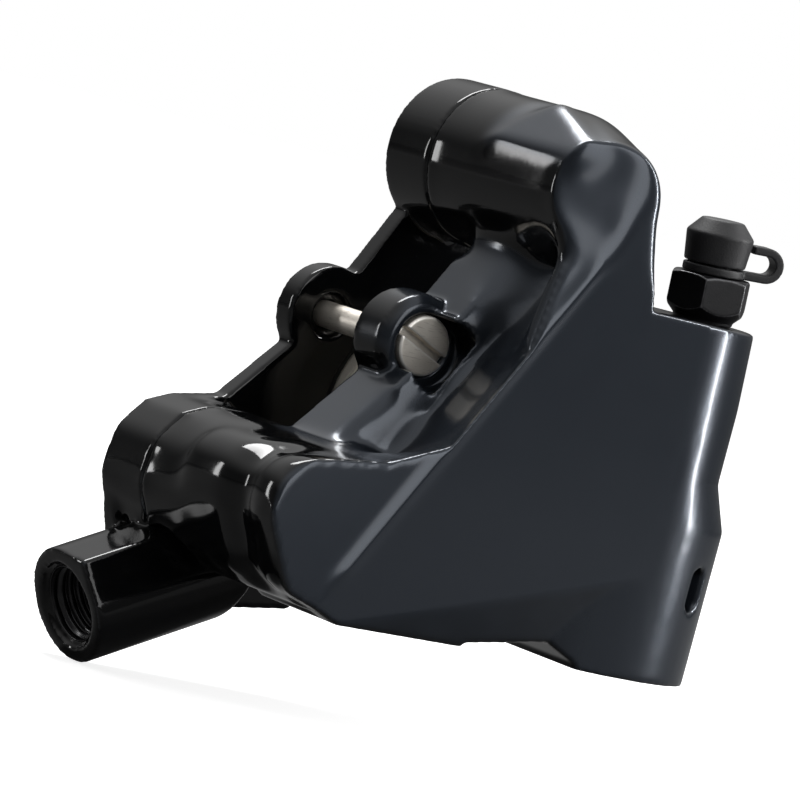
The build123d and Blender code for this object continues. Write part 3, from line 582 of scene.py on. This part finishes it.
def roundedLoop(corners, radius, count, shareOfSide):
    # each corner becomes a short curve: the quadratic through the points radius before and after it
    corners = np.asarray(corners, float)
    before, after = np.roll(corners, 1, 0) - corners, np.roll(corners, -1, 0) - corners
    lengthBack, lengthOn = (np.linalg.norm(way, axis=1, keepdims=True) for way in (before, after))
    start = corners + before / lengthBack * np.minimum(radius, shareOfSide * lengthBack)
    stop = corners + after / lengthOn * np.minimum(radius, shareOfSide * lengthOn)
    t = np.linspace(0.0, 1.0, count)[None, :, None]
    curve = (1 - t) ** 2 * start[:, None] + 2 * t * (1 - t) * corners[:, None] + t ** 2 * stop[:, None]
    return curve.reshape(-1, corners.shape[1])


# threads in the hose port and the two frame holes
threadLook = {"perTurn": 72, "perPitch": 8, "sleeve": 0.05 * mm, "flat": 1.35}
portThread = {"base": inMm(-39.746, 19.8, -6.441), "axis": (0.9026, 0.0, 0.4305), "across": (0, 1, 0),
              "major": 4.0 * mm, "minor": 3.5 * mm, "pitch": 1.0 * mm, "start": 0.75 * mm, "end": 8.4 * mm,
              "finish": "bodyThread"}
frameThread = {"axis": (0, 0, 1), "across": (1, 0, 0), "major": 2.5 * mm, "minor": 2.1 * mm,
               "pitch": 0.8 * mm, "start": 0.6 * mm, "finish": "bareAlloy"}
threads = {"portThread": portThread,
           "rearFrameThread": {**frameThread, "base": inMm(17.0, 0.0, 0.0), "end": 12.6 * mm},
           "frontFrameThread": {**frameThread, "base": inMm(-17.0, 0.0, 0.0), "end": 9.6 * mm}}


def threadSleeve(name, look):
    # inside wall whose radius follows a wave along the helix, closed by a plain outer wall
    major, pitch, start, end = (look[key] for key in ("major", "pitch", "start", "end"))
    turns = threadLook["perTurn"]
    angle = np.linspace(0.0, 2 * math.pi, turns, endpoint=False)
    along = np.linspace(start, end, int((end - start) / pitch * threadLook["perPitch"]))
    wave = np.cos(2 * math.pi * along[None, :] / pitch - angle[:, None])
    fade = window(along, start, start + pitch, end - pitch, end)
    crest = 0.5 + 0.5 * np.clip(wave * threadLook["flat"], -1.0, 1.0)
    radius = major - (major - look["minor"]) * crest * fade[None, :]
    radius = np.concatenate([radius, np.full((turns, 2), major + threadLook["sleeve"])], 1)
    height = np.concatenate([along, [end, start]])
    mesh = roundNet(name, look["base"], look["axis"], look["across"], turns, radius, height)
    newPiece(name, mesh, look["finish"], "caliper")


for name, look in threads.items():
    threadSleeve(name, look)

# pistons: cups whose open end faces the rotor
pistonLook = {"radius": 10.95 * mm, "cup": 8.0 * mm, "length": 6.6 * mm, "cupDepth": 4.4 * mm,
              "cone": 0.6 * mm, "step": 7.2 * mm, "edge": 0.45 * mm, "edgePoints": 5, "edgeShare": 0.45,
              "segments": 120, "x": 0.408 * mm, "z": 19.78 * mm}
pistons = {"outerPistonCup": ("outer_piston", "outboard_piston", 12.8 * mm, -1),
           "innerPistonCup": ("inner_piston", "inboard_piston", 22.2 * mm, 1)}


def makePiston(name, node, body, frontY, inboard):
    k = pistonLook
    outline = [(0.0, k["length"]), (k["radius"], k["length"]), (k["radius"], 0.0), (k["cup"], 0.0),
               (k["cup"], k["cupDepth"] - k["cone"]), (k["step"], k["cupDepth"]), (0.0, k["cupDepth"])]
    curve = roundedLoop(outline, k["edge"], k["edgePoints"], k["edgeShare"])
    mesh = roundNet(name, (k["x"], frontY, k["z"]), (0, inboard, 0), (1, 0, 0), k["segments"],
                    np.maximum(curve[None, :, 0], 0.0), curve[:, 1])
    newPiece(name, mesh, "ceramic", body, [node])


for name, values in pistons.items():
    makePiston(name, *values)

# small pieces: name, finish, body, slot, voxel size and rounds of relaxing
smallSkins = {"pad_axle": ("padAxle", "nickelSteel", "axle", "axle_steel", 0.09 * mm, 3),
              "pad_axle_clip": ("axleClip", "darkSteel", "axle", "bolt_steel", 0.06 * mm, 3),
              "bleed_nipple": ("hexNipple", "blackHex", "nipple", "nipple_black", 0.10 * mm, 3),
              "bleed_cap": ("rubberCap", "capRubber", "cap", "cap_rubber", 0.11 * mm, 7),
              "bleed_cap_strap": ("capStrap", "capRubber", None, "cap_rubber", 0.09 * mm, 6),
              "body_bolt_top": ("bodyBoltTopSkin", "darkSteel", "caliper", "bolt_steel", 0.15 * mm, 3),
              "body_bolt_front": ("bodyBoltFrontSkin", "darkSteel", "caliper", "bolt_steel", 0.15 * mm, 3)}
smallPieces = {node: skinPiece(node, *values) for node, values in smallSkins.items()}
capStrap = smallPieces["bleed_cap_strap"]
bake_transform(capStrap)

for nodeName, finish in {"outer_piston_seal": "sealRubber", "inner_piston_seal": "sealRubber",
                         "crossover_seal": "sealRubber", "passage_plug": "darkSteel"}.items():
    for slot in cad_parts[nodeName].material_slots:
        slot.material = finishes[finish]
print("pieces made")

# stage: lamps stand at places given from the camera, in metres across, upward and toward it
stageLook = {"ambient": 0.30, "around": 0.12, "overhead": 1.0, "overheadSpan": (0.15, 0.75), "floorSize": 6.0,
             "floorGlow": 0.78, "floorPale": rgb(0.8, 0.8, 0.8), "floorDim": rgb(0.2, 0.2, 0.2)}
lamps = {"topBox": {"at": (0.0, 0.52, -0.22), "size": (0.34, 0.17), "power": 2.9},
         "leftStrip": {"at": (-0.50, 0.05, -0.06), "size": (0.05, 0.45), "power": 0.8},
         "rightStrip": {"at": (0.52, 0.05, -0.05), "size": (0.028, 0.5), "power": 2.6},
         "faceBox": {"at": (0.42, 0.08, 0.36), "size": (0.22, 0.36), "power": 0.75}}
# camera: azimuth and elevation of the photograph, rolled so that the object leans as it does there
shot = {"azimuth": -38.0, "elevation": 3.1, "roll": 15.0, "middle": Vector((-5.2 * mm, 18.8 * mm, 21.9 * mm)),
        "distance": 0.60, "lens": 253.8, "sensor": 36.0, "near": 0.01, "far": 20.0}


def makeFloor():
    # pale and glowing where it is seen straight on, a dull grey to mirrored rays
    low, half = cadBox[0][2], stageLook["floorSize"] / 2
    corners = [(-half, -half, low), (half, -half, low), (half, half, low), (-half, half, low)]
    mesh = bpy.data.meshes.new("floor")
    mesh.from_pydata(corners, [], [(0, 1, 2, 3)])
    floor = bpy.data.objects.new("floor", mesh)
    bpy.context.collection.objects.link(floor)
    p = Paint("floorPale")
    direct, through = (p.node("ShaderNodeLightPath", output=key)
                       for key in ("Is Camera Ray", "Is Transmission Ray"))
    seen = direct + through
    plain = p.node("ShaderNodeBsdfDiffuse", {}, {"Color": stageLook["floorPale"]})
    dim = p.node("ShaderNodeBsdfDiffuse", {}, {"Color": stageLook["floorDim"]})
    glow = p.node("ShaderNodeEmission", {}, {"Color": rgb(1, 1, 1), "Strength": stageLook["floorGlow"]})
    both = p.node("ShaderNodeAddShader", {}, {0: plain, 1: glow})
    chosen = p.node("ShaderNodeMixShader", {}, {0: seen, 1: dim, 2: both})
    out = p.tree.nodes.new("ShaderNodeOutputMaterial")
    p.tree.links.new(chosen.socket, out.inputs["Surface"])
    mesh.materials.append(p.material)


def makeWorld():
    # white wherever it is seen straight on; mirrored, it is a room that is dim around and brighter overhead
    world = bpy.data.worlds.new("studio")
    bpy.context.scene.world = world
    world.use_nodes = True
    tree = world.node_tree
    tree.nodes.clear()
    made = {}
    for key, kind, settings in (
            ("path", "LightPath", {}), ("way", "TexCoord", {}), ("split", "SeparateXYZ", {}),
            ("dim", "MapRange", {"interpolation_type": "SMOOTHSTEP"}),
            ("mirror", "Math", {"operation": "MULTIPLY"}), ("direct", "Math", {"operation": "MAXIMUM"}),
            ("sum", "Math", {"operation": "ADD"}), ("soft", "Math", {"operation": "MULTIPLY"}),
            ("strength", "Math", {"operation": "MAXIMUM"}),
            ("back", "Background", {}), ("out", "OutputWorld", {})):
        made[key] = tree.nodes.new("ShaderNode" + kind)
        for name, value in settings.items():
            setattr(made[key], name, value)
    for source, output, target, socket in (
            ("way", "Generated", "split", 0), ("split", "Z", "dim", "Value"),
            ("path", "Is Glossy Ray", "mirror", 0), ("dim", "Result", "mirror", 1),
            ("path", "Is Camera Ray", "direct", 0), ("path", "Is Transmission Ray", "direct", 1),
            ("direct", 0, "sum", 0), ("mirror", 0, "sum", 1), ("sum", 0, "strength", 0),
            ("path", "Is Diffuse Ray", "soft", 0), ("soft", 0, "strength", 1),
            ("strength", 0, "back", "Strength"), ("back", 0, "out", 0)):
        tree.links.new(made[source].outputs[output], made[target].inputs[socket])
    low, high = stageLook["overheadSpan"]
    for socket, value in (("From Min", low), ("From Max", high), ("To Min", stageLook["around"]),
                          ("To Max", stageLook["overhead"])):
        made["dim"].inputs[socket].default_value = value
    made["soft"].inputs[1].default_value = stageLook["ambient"]
    made["back"].inputs["Color"].default_value = rgb(1, 1, 1)


def cameraAxes():
    a, e, r = (math.radians(shot[key]) for key in ("azimuth", "elevation", "roll"))
    right = Vector((math.cos(a), math.sin(a), 0.0))
    up = Vector((-math.sin(a) * math.sin(e), math.cos(a) * math.sin(e), math.cos(e)))
    back = Vector((math.sin(a) * math.cos(e), -math.cos(a) * math.cos(e), math.sin(e)))
    return right * math.cos(r) + up * math.sin(r), up * math.cos(r) - right * math.sin(r), back


def makeCamera():
    right, up, back = cameraAxes()
    data = bpy.data.cameras.new("photoCamera")
    data.lens, data.sensor_width = shot["lens"], shot["sensor"]
    data.clip_start, data.clip_end = shot["near"], shot["far"]
    camera = bpy.data.objects.new("photoCamera", data)
    bpy.context.collection.objects.link(camera)
    turn = Matrix((right, up, back)).transposed().to_4x4()
    camera.matrix_world = Matrix.Translation(shot["middle"] + back * shot["distance"]) @ turn
    bpy.context.scene.camera = camera


def makeLamp(name, look):
    across, upward, toward = look["at"]
    right, up, back = cameraAxes()
    light = bpy.data.lights.new(name, "AREA")
    light.shape, light.energy = "RECTANGLE", look["power"]
    light.size, light.size_y = look["size"]
    lamp = bpy.data.objects.new(name, light)
    bpy.context.collection.objects.link(lamp)
    lamp.location = shot["middle"] + right * across + up * upward + back * toward
    lamp.rotation_euler = (shot["middle"] - lamp.location).to_track_quat("-Z", "Y").to_euler()


makeFloor()
makeWorld()
makeCamera()
for name, look in lamps.items():
    makeLamp(name, look)
view = bpy.context.scene.view_settings
view.view_transform = "Standard"
print("stage made")
